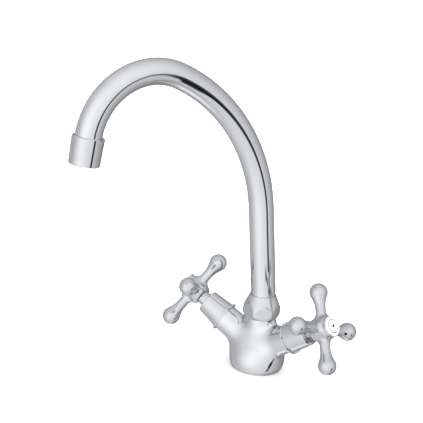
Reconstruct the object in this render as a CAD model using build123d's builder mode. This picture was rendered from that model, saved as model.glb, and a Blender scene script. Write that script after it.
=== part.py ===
from build123d import *
import os
from math import cos, pi, radians, sin, sqrt

os.makedirs("parts", exist_ok=True)

# Two handle kitchen faucet with a swivel spout, in millimetres and degrees.
# The origin is the centre of the base face on the counter. +Z is up, -Y is the front, over the
# sink, and the hot side is -X. At rest the spout is swung towards the hot handle.

# ---------------------------------------------------------------- fits
running_clearance = 0.06  # shaft in its bore
seat_clearance = 0.05  # screwed, pressed or dropped in, on the radius
slide_gap = 0.04  # between flat faces that turn on each other

# ---------------------------------------------------------------- mixer body
base_radius = 22.3
bulge_radius = 25.0
bulge_height = 10.0
neck_radius = 13.6
neck_sweep_radius = 22.0  # hollow curve between the bulge and the neck
nut_seat_height = 48.8
collar_radius = 12.8
collar_length = 8.2

arm_rise_angle = 30.3
arm_splay_angle = 7.3
arm_foot_height = 18.3  # where the two arm axes meet, on the body's axis
arm_radius = 12.7
arm_length = 40.6
arm_blend_radius = 5.8

socket_radius = 9.6
socket_depth = 17.0  # from the top of the collar
mixing_radius = 7.0
mixing_depth = 10.0  # below the socket's floor
port_radius = 3.0
port_depth = 5.0  # below the socket's floor
port_length = 14.0

valve_bore_radius = 10.0
valve_seat_distance = 17.0
feed_radius = 4.0
inlet_offset = 8.6
inlet_thread_radius = 4.5
inlet_thread_depth = 12.0
stud_hole_radius = 3.4
stud_hole_depth = 15.0
stud_offset = 12.5
seal_groove_inner_radius = 17.6
seal_groove_outer_radius = 20.6
seal_groove_depth = 2.2

# ---------------------------------------------------------------- spout nut and swivel
nut_across_flats = 30.4
nut_angle = 39.0
nut_turned_radius = 17.2  # the hexagon's corners are turned down to this
nut_bottom_radius = 14.6
nut_bottom_cone = 3.7  # height of the cone under the corners
nut_corner_length = 4.7
nut_top_cone = 12.4  # from the corners to the lip
nut_lip_radius = 11.7
nut_lip_clearance = 0.2

slide_washer_thickness = 0.8
slide_washer_rim = 0.2  # how far the washer stays inside the collar
flange_thickness = 2.4
flange_radius = 12.4
slide_ring_thickness = 2.0

# ---------------------------------------------------------------- spout
spout_swing_angle = -25.0  # from straight ahead, towards the hot side
tube_radius = 11.0
tube_wall = 1.2
foot_arc_radius = 44.0
foot_angle = 7.9
column_length = 75.0
crown_radius = 151.0
crown_angle = 59.0
drop_radius = 57.4
drop_angle = 106.2

ferrule_bore_radius = 6.2
ferrule_spigot_length = 7.7
ferrule_foot_gap = 1.0  # over the socket's floor
o_ring_radius = 1.0
o_ring_foot_distance = 5.0  # from the ferrule's foot to the lower O-ring
o_ring_spacing = 6.0
o_ring_groove_width = 2.5

# ---------------------------------------------------------------- aerator
housing_length = 23.0
housing_top_radius = 13.3
housing_outlet_radius = 12.4
housing_edge = 0.6
tube_engagement = 8.0
washer_thickness = 1.5
washer_bore_radius = 6.5
insert_flange_thickness = 1.6
insert_radius = 9.5
insert_bore_radius = 7.6
insert_length = 9.4
outlet_lip_radius = 8.8
screen_thickness = 0.6
screen_hole_radius = 0.75
screen_hole_spacing = 2.2
screen_rings = 3

# ---------------------------------------------------------------- valves
valve_body_radius = valve_bore_radius - seat_clearance
valve_body_start = 19.2
valve_skirt_radius = 9.2  # leaves a water way round the windows
valve_thread_start = 31.0
valve_chamber_radius = 8.3
valve_chamber_length = 10.1
window_width = 5.4
window_length = 5.0
valve_collar_radius = 11.8
valve_collar_thickness = 1.8
valve_hex_across_flats = 17.0
valve_hex_length = 5.6
valve_thread_radius = 8.5
valve_top_distance = 57.5
seat_seal_inner_radius = 4.6
seat_seal_outer_radius = 8.0
disc_thickness = 3.0
disc_clearance = 0.12
disc_port_orbit = 4.7
disc_port_width = 3.2
fixed_port_angles = (0, 180)
moving_port_angles = (90, 270)  # a quarter turn off, so shut
window_angles = (0, 90)
disc_port_angle = 66.0
drive_slot_width = 3.0
drive_slot_depth = 1.4
spindle_radius = 5.0
spindle_drive_thickness = 3.0
spline_tip_radius = 4.0
spline_root_radius = 3.6
spline_teeth = 20
spline_start_distance = 59.0
spindle_end_distance = 79.0
spindle_o_ring_radius = 0.7
spindle_o_ring_distance = 44.0
spindle_o_ring_groove_width = 1.9
clip_radius = 6.5
clip_thickness = 0.8
clip_groove_depth = 0.7
clip_opening = 6.0

# ---------------------------------------------------------------- sleeve and flange ring
ring_radius = 14.6
ring_thickness = 1.8
ring_edge = 0.5
sleeve_foot_radius = 12.9
sleeve_top_radius = 10.9
sleeve_top_distance = 62.9
sleeve_edge = 0.5
sleeve_bore_radius = 10.5
sleeve_bore_length = 9.0
sleeve_web_thickness = 3.2

# ---------------------------------------------------------------- cross handles
hub_distance = 78.8  # from the arm's foot to the plane of the spokes
cross_angles = {"hot": 26.5, "cold": -18.0}
neck_collar_radius = 6.5
neck_collar_clearance = 0.35
neck_collar_engagement = 2.6
hub_back_radius = 7.4
hub_radius = 10.3
hub_back_length = 10.3
hub_straight_half = 5.8
hub_front_length = 7.6
hub_front_radius = 9.5
spoke_count = 4
stub_radius = 5.1
stub_length = 12.8
stub_blend_radius = 4.4
spoke_neck_radius = 4.55
spoke_hollow_radius = 25.0
ball_orbit = 32.4
ball_radius = 8.0

screw_radius = 2.4
screw_head_radius = 4.3
screw_head_thickness = 2.6
screw_length = 9.0
screw_slot_width = 1.0
screw_slot_depth = 1.1
screw_well_radius = 5.0
hub_web_thickness = 2.4

bezel_radius = 9.3
bezel_height = 3.4
bezel_edge = 0.4
bezel_spigot_radius = 7.5
bezel_spigot_length = 3.0
bezel_bore_radius = 5.5
button_radius = 8.5
button_thickness = 2.6
button_crown = 0.8
button_seat_depth = 2.2


def arm_plane(sign):
    # Square to the arm's axis at its foot: local Z runs out along the arm, local X points up.
    rise = radians(arm_rise_angle)
    splay = radians(arm_splay_angle)
    outward = (sign * cos(rise) * cos(splay), -cos(rise) * sin(splay), sin(rise))
    upward = (-sign * sin(rise) * cos(splay), sin(rise) * sin(splay), cos(rise))
    return Plane(origin=(0, 0, arm_foot_height), x_dir=upward, z_dir=outward)


def section_of(plane):
    # The plane through the axis of a turned part: local X is the radius, local Y runs along it.
    return Plane(origin=plane.origin, x_dir=plane.x_dir, z_dir=-plane.y_dir)


def turned(plane, angle):
    # The same plane, turned about its own local Z.
    return Plane(
        origin=plane.origin,
        x_dir=plane.x_dir.rotate(Axis(plane.origin, plane.z_dir), angle),
        z_dir=plane.z_dir,
    )


def star_points(tip_radius, root_radius, teeth):
    # Corners of a splined shaft's outline.
    points = []
    for half in range(2 * teeth):
        radius = tip_radius if half % 2 == 0 else root_radius
        angle = radians(180 * half / teeth)
        points.append((radius * cos(angle), radius * sin(angle)))
    return points


# ---------------------------------------------------------------- mixer body
# The bulge is one arc from the base face, the neck sweep is a second arc, tangent to both.
bulge_rise = bulge_radius - base_radius
bulge_arc_radius = (bulge_rise**2 + bulge_height**2) / (2 * bulge_rise)
bulge_center_radius = bulge_radius - bulge_arc_radius
sweep_center_radius = neck_radius + neck_sweep_radius
arc_centers_apart = neck_sweep_radius + bulge_arc_radius
sweep_top_height = bulge_height + sqrt(
    arc_centers_apart**2 - (sweep_center_radius - bulge_center_radius) ** 2
)
sweep_share = bulge_arc_radius / arc_centers_apart
sweep_start = (
    bulge_center_radius + (sweep_center_radius - bulge_center_radius) * sweep_share,
    bulge_height + (sweep_top_height - bulge_height) * sweep_share,
)
collar_top_height = nut_seat_height + collar_length
socket_floor_height = collar_top_height - socket_depth
mixing_floor_height = socket_floor_height - mixing_depth
port_height = socket_floor_height - port_depth
nut_corner_radius = nut_across_flats / sqrt(3)
arm_planes = {"hot": arm_plane(-1), "cold": arm_plane(1)}
arm_reach = cos(radians(arm_rise_angle)) * cos(radians(arm_splay_angle))
inlet_distance = inlet_offset / arm_reach

with BuildPart() as mixer_body:
    with BuildSketch(Plane.XZ):
        with BuildLine():
            base_edge = Line((0, 0), (base_radius, 0))
            bulge_arc = RadiusArc(base_edge @ 1, (bulge_radius, bulge_height), -bulge_arc_radius)
            shoulder_arc = RadiusArc(bulge_arc @ 1, sweep_start, -bulge_arc_radius)
            sweep_arc = RadiusArc(shoulder_arc @ 1, (neck_radius, sweep_top_height), neck_sweep_radius)
            Polyline(sweep_arc @ 1, (neck_radius, collar_top_height), (0, collar_top_height), (0, 0))
        make_face()
    revolve(axis=Axis.Z)
    for plane in arm_planes.values():
        with BuildSketch(plane):
            Circle(arm_radius)
        extrude(amount=arm_length)
    fillet(edges().filter_by(GeomType.BSPLINE), radius=arm_blend_radius)
    # The neck is faced off for the nut, and what stands above is turned down to the collar.
    with BuildSketch(Plane.XY.offset(nut_seat_height)):
        Circle(nut_corner_radius)
        Circle(collar_radius, mode=Mode.SUBTRACT)
    extrude(amount=collar_length, mode=Mode.SUBTRACT)
    # Spout socket and mixing chamber
    with BuildSketch(Plane.XY.offset(socket_floor_height)):
        Circle(socket_radius)
    extrude(amount=collar_top_height - socket_floor_height, mode=Mode.SUBTRACT)
    with BuildSketch(Plane.XY.offset(mixing_floor_height)):
        Circle(mixing_radius)
    extrude(amount=socket_floor_height - mixing_floor_height, mode=Mode.SUBTRACT)
    for plane in arm_planes.values():
        # Valve bore, its seat hole, the elbow and the inlet below, and the port to the chamber
        with BuildSketch(plane.offset(valve_seat_distance)):
            Circle(valve_bore_radius)
        extrude(amount=arm_length - valve_seat_distance, mode=Mode.SUBTRACT)
        with BuildSketch(plane.offset(inlet_distance)):
            Circle(feed_radius)
        extrude(amount=valve_seat_distance - inlet_distance, mode=Mode.SUBTRACT)
        elbow = plane.origin + plane.z_dir * inlet_distance
        with Locations(elbow):
            Sphere(feed_radius, mode=Mode.SUBTRACT)
        with BuildSketch(Plane.XY.move(Location((elbow.X, elbow.Y, 0)))):
            Circle(feed_radius)
        extrude(amount=elbow.Z, mode=Mode.SUBTRACT)
        with BuildSketch(Plane.XY.move(Location((elbow.X, elbow.Y, 0)))):
            Circle(inlet_thread_radius)
        extrude(amount=inlet_thread_depth, mode=Mode.SUBTRACT)
        level = Vector(plane.z_dir.X, plane.z_dir.Y, 0).normalized()
        with BuildSketch(Plane(origin=(0, 0, port_height), z_dir=level)):
            Circle(port_radius)
        extrude(amount=port_length, mode=Mode.SUBTRACT)
    with BuildSketch(Plane.XY.move(Location((0, stud_offset, 0)))):
        Circle(stud_hole_radius)
    extrude(amount=stud_hole_depth, mode=Mode.SUBTRACT)
    with BuildSketch():
        Circle(seal_groove_outer_radius)
        Circle(seal_groove_inner_radius, mode=Mode.SUBTRACT)
    extrude(amount=seal_groove_depth, mode=Mode.SUBTRACT)
mixer_body.part.label = "mixer_body"
export_step(mixer_body.part, "parts/mixer_body.step")

with BuildPart() as base_seal:
    with BuildSketch():
        Circle(seal_groove_outer_radius - seat_clearance)
        Circle(seal_groove_inner_radius + seat_clearance, mode=Mode.SUBTRACT)
    extrude(amount=seal_groove_depth)
base_seal.part.label = "base_seal"
export_step(base_seal.part, "parts/base_seal.step")

# ---------------------------------------------------------------- swivel, from the collar up
washer_top = collar_top_height + slide_washer_thickness
flange_bottom = washer_top + slide_gap
flange_top = flange_bottom + flange_thickness
slide_ring_bottom = flange_top + slide_gap
nut_shoulder_height = slide_ring_bottom + slide_ring_thickness
nut_corner_low_height = nut_seat_height + nut_bottom_cone
nut_corner_high_height = nut_corner_low_height + nut_corner_length
nut_lip_height = nut_corner_high_height + nut_top_cone
nut_bore_radius = collar_radius + seat_clearance
nut_lip_bore_radius = tube_radius + nut_lip_clearance
ferrule_radius = socket_radius - running_clearance

with BuildPart() as spout_nut:
    with BuildSketch(Plane.XY.offset(nut_seat_height)):
        RegularPolygon(nut_corner_radius, side_count=6, rotation=nut_angle)
    extrude(amount=nut_lip_height - nut_seat_height)
    # Coned above and below the corners, so that each flat ends in an arch
    with BuildSketch(Plane.XZ):
        with BuildLine():
            Polyline(
                (0, nut_seat_height),
                (nut_bottom_radius, nut_seat_height),
                (nut_turned_radius, nut_corner_low_height),
                (nut_turned_radius, nut_corner_high_height),
                (nut_lip_radius, nut_lip_height),
                (0, nut_lip_height),
                close=True,
            )
        make_face()
    revolve(axis=Axis.Z, mode=Mode.INTERSECT)
    with BuildSketch(Plane.XY.offset(nut_seat_height)):
        Circle(nut_bore_radius)
    extrude(amount=nut_shoulder_height - nut_seat_height, mode=Mode.SUBTRACT)
    with BuildSketch(Plane.XY.offset(nut_shoulder_height)):
        Circle(nut_lip_bore_radius)
    extrude(amount=nut_lip_height - nut_shoulder_height, mode=Mode.SUBTRACT)
spout_nut.part.label = "spout_nut"
export_step(spout_nut.part, "parts/spout_nut.step")

with BuildPart() as lower_slide_washer:
    with BuildSketch(Plane.XY.offset(collar_top_height)):
        Circle(collar_radius - slide_washer_rim)
        Circle(socket_radius, mode=Mode.SUBTRACT)
    extrude(amount=slide_washer_thickness)
lower_slide_washer.part.label = "lower_slide_washer"
export_step(lower_slide_washer.part, "parts/lower_slide_washer.step")

with BuildPart() as upper_slide_ring:
    with BuildSketch(Plane.XY.offset(slide_ring_bottom)):
        Circle(nut_bore_radius - seat_clearance)
        Circle(tube_radius + running_clearance, mode=Mode.SUBTRACT)
    extrude(amount=slide_ring_thickness)
upper_slide_ring.part.label = "upper_slide_ring"
export_step(upper_slide_ring.part, "parts/upper_slide_ring.step")

# ---------------------------------------------------------------- spout
# The spout bends in one upright plane: local X runs forward over the sink, local Y is up.
swing = radians(spout_swing_angle)
spout_forward = Vector(sin(swing), -cos(swing), 0)
spout_plane = Plane(origin=(0, 0, 0), x_dir=spout_forward, z_dir=spout_forward.cross(Vector(0, 0, 1)))
tube_bore_radius = tube_radius - tube_wall

with BuildPart() as spout_tube:
    with BuildLine(spout_plane) as spine:
        foot = Line((0, flange_top), (0, nut_lip_height))
        foot_arc = JernArc(foot @ 1, foot % 1, foot_arc_radius, -foot_angle)
        column = Line(foot_arc @ 1, foot_arc @ 1 + (foot_arc % 1) * column_length)
        crown = JernArc(column @ 1, column % 1, crown_radius, -crown_angle)
        drop = JernArc(crown @ 1, crown % 1, drop_radius, -drop_angle)
        tail = Line(drop @ 1, drop @ 1 + (drop % 1) * tube_engagement)
    with BuildSketch(Plane.XY.offset(flange_top)):
        Circle(tube_radius)
        Circle(tube_bore_radius, mode=Mode.SUBTRACT)
    sweep(path=spine.wires()[0])
spout_tube.part.label = "spout_tube"
export_step(spout_tube.part, "parts/spout_tube.step")

tube_length = spine.wires()[0].length
tube_section = pi * (tube_radius**2 - tube_bore_radius**2)
print("spout tube volume", round(spout_tube.part.volume, 1), "and its section by its length",
      round(tube_section * tube_length, 1))
spout_end = tail @ 1
spout_end_direction = tail % 1

ferrule_foot_height = socket_floor_height + ferrule_foot_gap
o_ring_lower_height = ferrule_foot_height + o_ring_foot_distance
o_ring_heights = {"lower": o_ring_lower_height, "upper": o_ring_lower_height + o_ring_spacing}
o_ring_orbit = socket_radius - seat_clearance - o_ring_radius

with BuildPart() as spout_ferrule:
    with BuildSketch(Plane.XZ):
        with BuildLine():
            Polyline(
                (ferrule_bore_radius, ferrule_foot_height),
                (ferrule_radius, ferrule_foot_height),
                (ferrule_radius, flange_bottom),
                (flange_radius, flange_bottom),
                (flange_radius, flange_top),
                (tube_bore_radius - seat_clearance, flange_top),
                (tube_bore_radius - seat_clearance, flange_top + ferrule_spigot_length),
                (ferrule_bore_radius, flange_top + ferrule_spigot_length),
                close=True,
            )
        make_face()
        for height in o_ring_heights.values():
            with Locations((ferrule_radius, height)):
                Rectangle(2 * (ferrule_radius - o_ring_orbit + o_ring_radius), o_ring_groove_width,
                          mode=Mode.SUBTRACT)
    revolve(axis=Axis.Z)
spout_ferrule.part.label = "spout_ferrule"
export_step(spout_ferrule.part, "parts/spout_ferrule.step")

for place, height in o_ring_heights.items():
    with BuildPart() as spout_o_ring:
        with Locations((0, 0, height)):
            Torus(o_ring_orbit, o_ring_radius)
    spout_o_ring.part.label = f"spout_o_ring_{place}"
    export_step(spout_o_ring.part, f"parts/spout_o_ring_{place}.step")

# ---------------------------------------------------------------- aerator
# Local Z of the aerator's plane runs down the outlet, from the tube's end.
aerator_plane = Plane(origin=spout_end, x_dir=spout_plane.z_dir, z_dir=spout_end_direction)
aerator_section = section_of(aerator_plane)
aerator_axis = Axis(aerator_plane.origin, aerator_plane.z_dir)
housing_bore_radius = tube_radius + seat_clearance
housing_outlet_end = housing_length - tube_engagement
insert_top = washer_thickness
insert_shoulder = insert_top + insert_flange_thickness
screen_top = insert_top + insert_length
lip_top = screen_top + screen_thickness

with BuildPart() as aerator_housing:
    with BuildSketch(aerator_section):
        with BuildLine():
            Polyline(
                (housing_bore_radius, -tube_engagement),
                (housing_top_radius - housing_edge, -tube_engagement),
                (housing_top_radius, -tube_engagement + housing_edge),
                (housing_outlet_radius + housing_edge / 2, housing_outlet_end - housing_edge),
                (housing_outlet_radius - housing_edge / 2, housing_outlet_end),
                (outlet_lip_radius, housing_outlet_end),
                (outlet_lip_radius, lip_top),
                (insert_radius + seat_clearance, lip_top),
                (insert_radius + seat_clearance, insert_shoulder),
                (housing_bore_radius, insert_shoulder),
                close=True,
            )
        make_face()
    revolve(axis=aerator_axis)
aerator_housing.part.label = "aerator_housing"
export_step(aerator_housing.part, "parts/aerator_housing.step")

with BuildPart() as aerator_washer:
    with BuildSketch(aerator_plane):
        Circle(tube_radius)
        Circle(washer_bore_radius, mode=Mode.SUBTRACT)
    extrude(amount=washer_thickness)
aerator_washer.part.label = "aerator_washer"
export_step(aerator_washer.part, "parts/aerator_washer.step")

with BuildPart() as aerator_insert:
    with BuildSketch(aerator_section):
        with BuildLine():
            Polyline(
                (washer_bore_radius, insert_top),
                (tube_radius, insert_top),
                (tube_radius, insert_shoulder),
                (insert_radius, insert_shoulder),
                (insert_radius, screen_top),
                (insert_bore_radius, screen_top),
                (insert_bore_radius, insert_shoulder),
                (washer_bore_radius, insert_shoulder),
                close=True,
            )
        make_face()
    revolve(axis=aerator_axis)
aerator_insert.part.label = "aerator_insert"
export_step(aerator_insert.part, "parts/aerator_insert.step")

with BuildPart() as aerator_screen:
    with BuildSketch(aerator_plane.offset(screen_top)):
        Circle(insert_radius)
        Circle(screen_hole_radius, mode=Mode.SUBTRACT)
        for ring in range(1, screen_rings + 1):
            with PolarLocations(ring * screen_hole_spacing, 6 * ring):
                Circle(screen_hole_radius, mode=Mode.SUBTRACT)
    extrude(amount=screen_thickness)
aerator_screen.part.label = "aerator_screen"
export_step(aerator_screen.part, "parts/aerator_screen.step")

# ---------------------------------------------------------------- along each arm's axis
disc_radius = valve_chamber_radius - disc_clearance
fixed_disc_start = valve_body_start + seat_clearance
moving_disc_start = fixed_disc_start + disc_thickness + slide_gap
drive_start = moving_disc_start + disc_thickness + seat_clearance
drive_end = drive_start + spindle_drive_thickness
valve_chamber_end = valve_body_start + valve_chamber_length
window_start = moving_disc_start + disc_thickness / 2
spindle_bore_radius = spindle_radius + running_clearance
collar_end = arm_length + valve_collar_thickness
ring_bore_radius = valve_collar_radius + seat_clearance
sleeve_start = arm_length + ring_thickness
sleeve_web_start = sleeve_top_distance - sleeve_web_thickness
sleeve_neck_radius = neck_collar_radius + neck_collar_clearance
hub_front_distance = hub_distance + hub_front_length
neck_collar_start = sleeve_top_distance - neck_collar_engagement
screw_well_start = spindle_end_distance + hub_web_thickness
clip_start = valve_top_distance + slide_gap
bezel_front = hub_front_distance + bezel_height
button_start = bezel_front - button_seat_depth
handle_bore_radius = spline_tip_radius + seat_clearance
spindle_o_ring_orbit = spindle_bore_radius - seat_clearance / 2 - spindle_o_ring_radius

# The hub's back swells from its rim to the straight part on one arc.
hub_back_span = hub_back_length - hub_straight_half
hub_back_swell = hub_radius - hub_back_radius
hub_back_arc_radius = (hub_back_span**2 + hub_back_swell**2) / (2 * hub_back_swell)
hub_front_span = hub_front_length - hub_straight_half
hub_front_swell = hub_radius - hub_front_radius
hub_front_arc_radius = (hub_front_span**2 + hub_front_swell**2) / (2 * hub_front_swell)

# Each spoke hollows from its neck on one arc and meets the ball on a tangent.
hollow_axis_offset = spoke_hollow_radius + spoke_neck_radius
hollow_center_out = sqrt((spoke_hollow_radius + ball_radius) ** 2 - hollow_axis_offset**2)
hollow_start = ball_orbit - hollow_center_out
ball_share = ball_radius / (ball_radius + spoke_hollow_radius)
ball_joint = (
    ball_orbit - hollow_center_out * ball_share,
    hollow_axis_offset * ball_share,
)

# Both cross handles are one casting, drawn here about its own axis: Z runs out through the button
# and Z = 0 is the plane of the spokes.
with BuildPart() as handle_casting:
    with BuildSketch(Plane.XZ):
        with BuildLine():
            back = Polyline(
                (0, neck_collar_start - hub_distance),
                (neck_collar_radius, neck_collar_start - hub_distance),
                (neck_collar_radius, -hub_back_length),
                (hub_back_radius, -hub_back_length),
            )
            back_arc = RadiusArc(back @ 1, (hub_radius, -hub_straight_half), -hub_back_arc_radius)
            barrel = Line(back_arc @ 1, (hub_radius, hub_straight_half))
            front_arc = RadiusArc(barrel @ 1, (hub_front_radius, hub_front_length), -hub_front_arc_radius)
            Polyline(front_arc @ 1, (0, hub_front_length), (0, neck_collar_start - hub_distance))
        make_face()
    revolve(axis=Axis.Z)
    spoke_planes = [Plane.XY.rotated((0, 0, 360 * spoke / spoke_count)) for spoke in range(spoke_count)]
    for spoke_plane in spoke_planes:
        with BuildSketch(spoke_plane):
            Rectangle(stub_length, stub_radius, align=(Align.MIN, Align.MIN))
        revolve(axis=Axis(spoke_plane.origin, spoke_plane.x_dir))
    fillet(edges().filter_by(GeomType.BSPLINE), radius=stub_blend_radius)
    for spoke_plane in spoke_planes:
        with BuildSketch(spoke_plane):
            with BuildLine():
                neck = Polyline((0, 0), (0, spoke_neck_radius), (hollow_start, spoke_neck_radius))
                hollow = RadiusArc(neck @ 1, ball_joint, -spoke_hollow_radius)
                ball = RadiusArc(hollow @ 1, (ball_orbit + ball_radius, 0), ball_radius)
                Line(ball @ 1, (0, 0))
            make_face()
        revolve(axis=Axis(spoke_plane.origin, spoke_plane.x_dir))
    # Splined bore for the spindle, web under the screw head, screw well and bezel seat
    with BuildSketch(Plane.XY.offset(neck_collar_start - hub_distance)):
        with BuildLine():
            Polyline(
                *star_points(handle_bore_radius, spline_root_radius + seat_clearance, spline_teeth),
                close=True,
            )
        make_face()
    extrude(amount=spindle_end_distance - neck_collar_start, mode=Mode.SUBTRACT)
    with BuildSketch(Plane.XY.offset(spindle_end_distance - hub_distance)):
        Circle(screw_radius + seat_clearance)
    extrude(amount=hub_web_thickness, mode=Mode.SUBTRACT)
    with BuildSketch(Plane.XY.offset(screw_well_start - hub_distance)):
        Circle(screw_well_radius)
    extrude(amount=hub_front_distance - screw_well_start, mode=Mode.SUBTRACT)
    with BuildSketch(Plane.XY.offset(hub_front_length)):
        Circle(bezel_spigot_radius + seat_clearance)
    extrude(amount=-bezel_spigot_length, mode=Mode.SUBTRACT)

for side, plane in arm_planes.items():
    section = section_of(plane)
    axis = Axis(plane.origin, plane.z_dir)

    with BuildPart() as seat_seal:
        with BuildSketch(plane.offset(valve_seat_distance)):
            Circle(seat_seal_outer_radius)
            Circle(seat_seal_inner_radius, mode=Mode.SUBTRACT)
        extrude(amount=fixed_disc_start - valve_seat_distance)
    seat_seal.part.label = f"{side}_seat_seal"
    export_step(seat_seal.part, f"parts/{side}_seat_seal.step")

    # Two round-ended ports pass water when the discs' ports line up, a quarter turn from rest.
    with BuildPart() as fixed_disc:
        with BuildSketch(plane.offset(fixed_disc_start)):
            Circle(disc_radius)
            for port_middle in fixed_port_angles:
                SlotArc(
                    CenterArc((0, 0), disc_port_orbit, port_middle - disc_port_angle / 2,
                              disc_port_angle, mode=Mode.PRIVATE),
                    disc_port_width,
                    mode=Mode.SUBTRACT,
                )
        extrude(amount=disc_thickness)
    fixed_disc.part.label = f"{side}_fixed_disc"
    export_step(fixed_disc.part, f"parts/{side}_fixed_disc.step")

    with BuildPart() as moving_disc:
        with BuildSketch(plane.offset(moving_disc_start)):
            Circle(disc_radius)
            for port_middle in moving_port_angles:
                SlotArc(
                    CenterArc((0, 0), disc_port_orbit, port_middle - disc_port_angle / 2,
                              disc_port_angle, mode=Mode.PRIVATE),
                    disc_port_width,
                    mode=Mode.SUBTRACT,
                )
        extrude(amount=disc_thickness)
        with BuildSketch(plane.offset(moving_disc_start + disc_thickness)):
            Rectangle(2 * disc_radius, drive_slot_width)
        extrude(amount=-drive_slot_depth, mode=Mode.SUBTRACT)
    moving_disc.part.label = f"{side}_moving_disc"
    export_step(moving_disc.part, f"parts/{side}_moving_disc.step")

    with BuildPart() as valve_body:
        with BuildSketch(section):
            with BuildLine():
                Polyline(
                    (spindle_bore_radius, valve_chamber_end),
                    (valve_chamber_radius, valve_chamber_end),
                    (valve_chamber_radius, valve_body_start),
                    (valve_skirt_radius, valve_body_start),
                    (valve_skirt_radius, valve_thread_start),
                    (valve_body_radius, valve_thread_start),
                    (valve_body_radius, arm_length),
                    (valve_collar_radius, arm_length),
                    (valve_collar_radius, collar_end),
                    (valve_thread_radius, collar_end),
                    (valve_thread_radius, valve_top_distance),
                    (spindle_bore_radius, valve_top_distance),
                    close=True,
                )
            make_face()
        revolve(axis=axis)
        with BuildSketch(plane.offset(collar_end)):
            RegularPolygon(valve_hex_across_flats / 2, side_count=6, major_radius=False)
            Circle(spindle_bore_radius, mode=Mode.SUBTRACT)
        extrude(amount=valve_hex_length)
        # Windows let the water out sideways into the body.
        for window_angle in window_angles:
            with BuildSketch(turned(plane.offset(window_start), window_angle)):
                Rectangle(2 * valve_bore_radius, window_width)
                Circle(valve_chamber_radius - disc_clearance, mode=Mode.SUBTRACT)
            extrude(amount=window_length, mode=Mode.SUBTRACT)
    valve_body.part.label = f"{side}_valve_body"
    export_step(valve_body.part, f"parts/{side}_valve_body.step")

    with BuildPart() as spindle:
        with BuildSketch(section):
            with BuildLine():
                Polyline(
                    (0, drive_start),
                    (disc_radius, drive_start),
                    (disc_radius, drive_end),
                    (spindle_radius, drive_end),
                    (spindle_radius, spline_start_distance),
                    (0, spline_start_distance),
                    close=True,
                )
            make_face()
            with Locations((spindle_radius, spindle_o_ring_distance)):
                Rectangle(2 * (spindle_radius - spindle_o_ring_orbit + spindle_o_ring_radius),
                          spindle_o_ring_groove_width, mode=Mode.SUBTRACT)
            with Locations((spindle_radius, clip_start + clip_thickness / 2)):
                Rectangle(2 * clip_groove_depth, clip_thickness, mode=Mode.SUBTRACT)
        revolve(axis=axis)
        with BuildSketch(plane.offset(drive_start)):
            Rectangle(2 * disc_radius, drive_slot_width - 2 * seat_clearance)
            Circle(disc_radius, mode=Mode.INTERSECT)
        extrude(amount=-drive_slot_depth)
        with BuildSketch(turned(plane.offset(spline_start_distance), cross_angles[side])):
            with BuildLine():
                Polyline(*star_points(spline_tip_radius, spline_root_radius, spline_teeth), close=True)
            make_face()
        extrude(amount=spindle_end_distance - spline_start_distance)
        with BuildSketch(plane.offset(spindle_end_distance)):
            Circle(screw_radius + seat_clearance)
        extrude(amount=-screw_length, mode=Mode.SUBTRACT)
    spindle.part.label = f"{side}_spindle"
    export_step(spindle.part, f"parts/{side}_spindle.step")

    with BuildPart() as spindle_o_ring:
        with BuildSketch(section):
            with Locations((spindle_o_ring_orbit, spindle_o_ring_distance)):
                Circle(spindle_o_ring_radius)
        revolve(axis=axis)
    spindle_o_ring.part.label = f"{side}_spindle_o_ring"
    export_step(spindle_o_ring.part, f"parts/{side}_spindle_o_ring.step")

    with BuildPart() as spindle_clip:
        with BuildSketch(plane.offset(clip_start)):
            Circle(clip_radius)
            Circle(spindle_radius - clip_groove_depth, mode=Mode.SUBTRACT)
            with Locations((-clip_radius, 0)):
                Rectangle(2 * clip_radius, clip_opening, mode=Mode.SUBTRACT)
        extrude(amount=clip_thickness)
    spindle_clip.part.label = f"{side}_spindle_clip"
    export_step(spindle_clip.part, f"parts/{side}_spindle_clip.step")

    with BuildPart() as flange_ring:
        with BuildSketch(section):
            with Locations((ring_bore_radius, arm_length)):
                Rectangle(ring_radius - ring_bore_radius, ring_thickness, align=(Align.MIN, Align.MIN))
            fillet(vertices().sort_by(Axis.X)[-2:], radius=ring_edge)
        revolve(axis=axis)
    flange_ring.part.label = f"{side}_flange_ring"
    export_step(flange_ring.part, f"parts/{side}_flange_ring.step")

    with BuildPart() as sleeve:
        with BuildSketch(section):
            with BuildLine():
                Polyline(
                    (sleeve_bore_radius, sleeve_start),
                    (sleeve_foot_radius, sleeve_start),
                    (sleeve_top_radius, sleeve_top_distance - sleeve_edge),
                    (sleeve_top_radius - sleeve_edge, sleeve_top_distance),
                    (sleeve_neck_radius, sleeve_top_distance),
                    (sleeve_neck_radius, sleeve_web_start),
                    (valve_thread_radius + seat_clearance, sleeve_web_start),
                    (valve_thread_radius + seat_clearance, sleeve_start + sleeve_bore_length),
                    (sleeve_bore_radius, sleeve_start + sleeve_bore_length),
                    close=True,
                )
            make_face()
        revolve(axis=axis)
    sleeve.part.label = f"{side}_sleeve"
    export_step(sleeve.part, f"parts/{side}_sleeve.step")

    hub_plane = turned(plane.offset(hub_distance), cross_angles[side])
    with BuildPart(hub_plane) as cross_handle:
        add(handle_casting.part)
    cross_handle.part.label = f"{side}_cross_handle"
    export_step(cross_handle.part, f"parts/{side}_cross_handle.step")

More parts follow.
